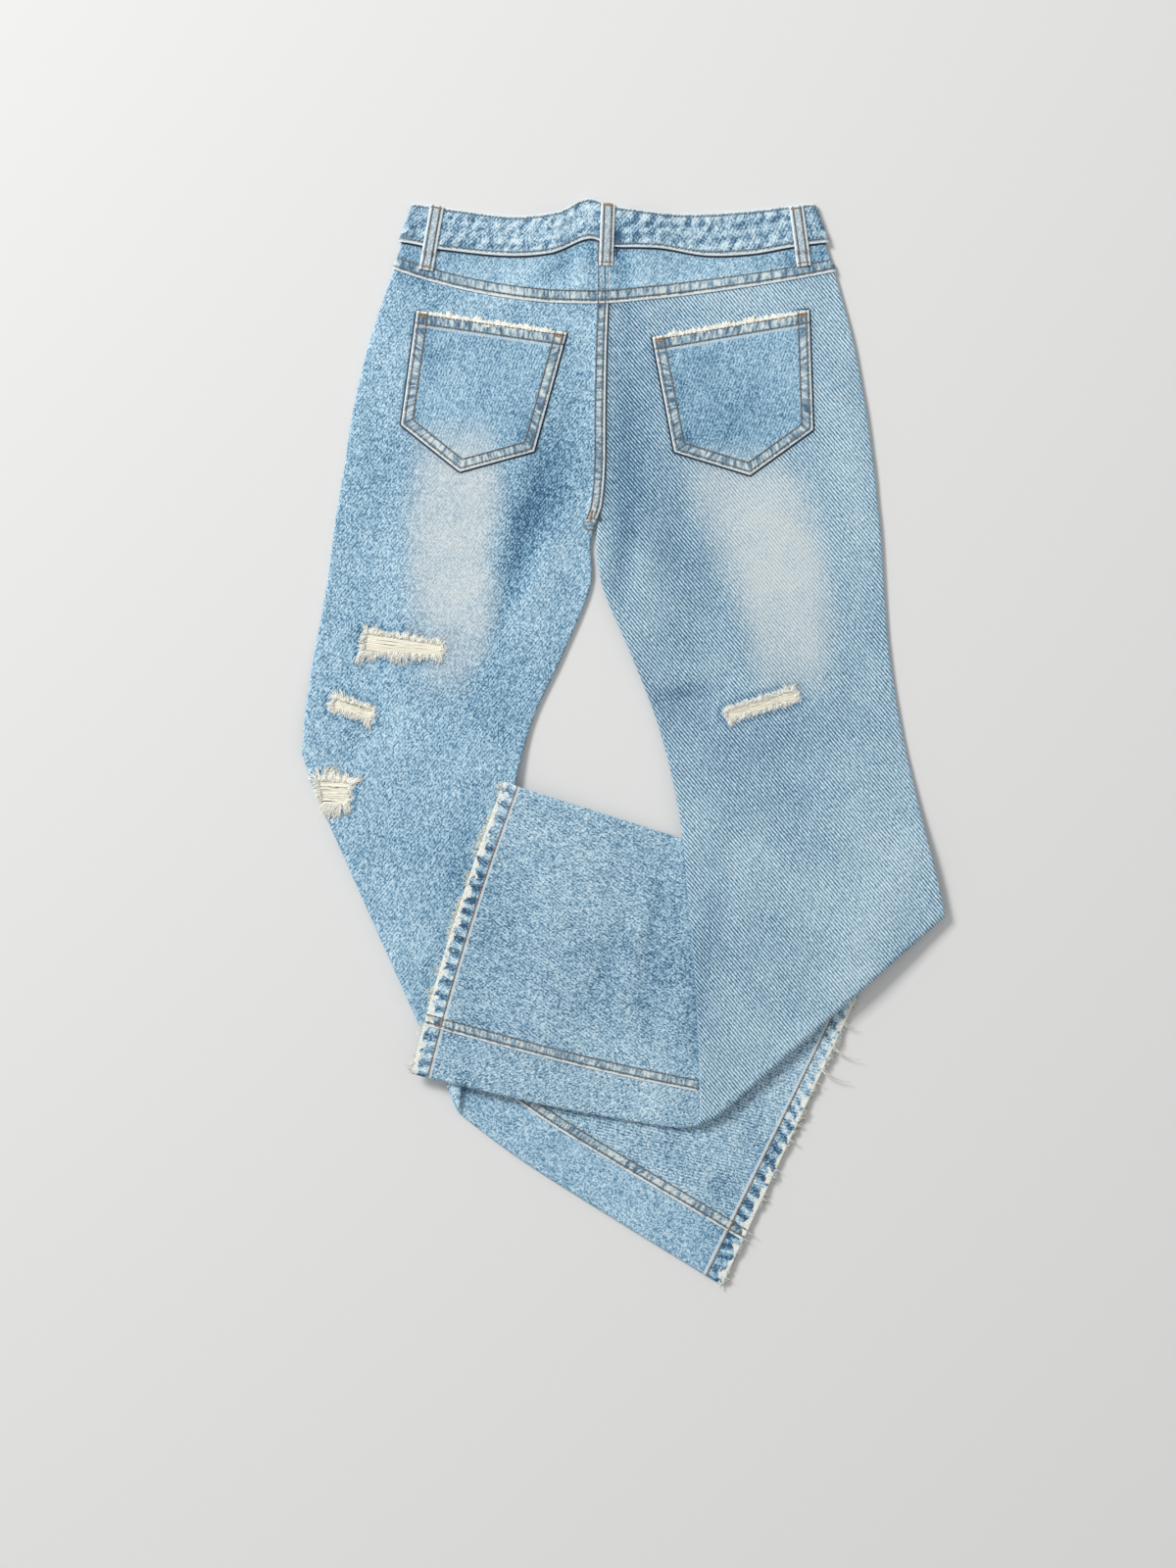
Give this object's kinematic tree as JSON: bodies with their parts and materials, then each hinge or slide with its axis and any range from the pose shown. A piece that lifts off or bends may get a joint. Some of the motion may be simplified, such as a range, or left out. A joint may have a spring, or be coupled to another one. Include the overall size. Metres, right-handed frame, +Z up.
{
  "type": "ripped jeans",
  "caption": "Washed flared jeans lying face down, legs folded under below the knee, with yoke, patch pockets, belt loops, rips and raw frayed hems.",
  "frame": {"origin": "middle of the laid garment's outline, on the floor it lies on", "axes": "+Y from the hems to the waistband, +X towards the wearer's right leg, +Z up from the floor, out of the back of the garment"},
  "size_m": [0.5717, 0.9622, 0.0152],
  "materials": {
    "denim": "washed light blue denim",
    "pale_denim": "paler washed denim of yokes, waistband and loops",
    "frayed_thread": "undyed cotton weft threads",
    "button_metal": "aged metal"
  },
  "bodies": {
    "root": {"back_leg_left": "denim", "back_leg_right": "denim", "front_leg_left": "denim", "front_leg_right": "denim", "pocket_left": "denim", "pocket_right": "denim", "fly_shield": "denim", "waistband": "pale_denim", "yoke_left": "pale_denim", "yoke_right": "pale_denim", "belt_loop_left": "pale_denim", "belt_loop_centre": "pale_denim", "belt_loop_right": "pale_denim", "rip_threads_left_thigh": "frayed_thread", "rip_threads_left_knee": "frayed_thread", "rip_threads_left_fold": "frayed_thread", "rip_threads_right_knee": "frayed_thread", "hem_fringe_left_back": "frayed_thread", "hem_fringe_left_front": "frayed_thread", "hem_fringe_right_back": "frayed_thread", "hem_fringe_right_front": "frayed_thread", "waist_button": "button_metal"}
  },
  "joints": []
}
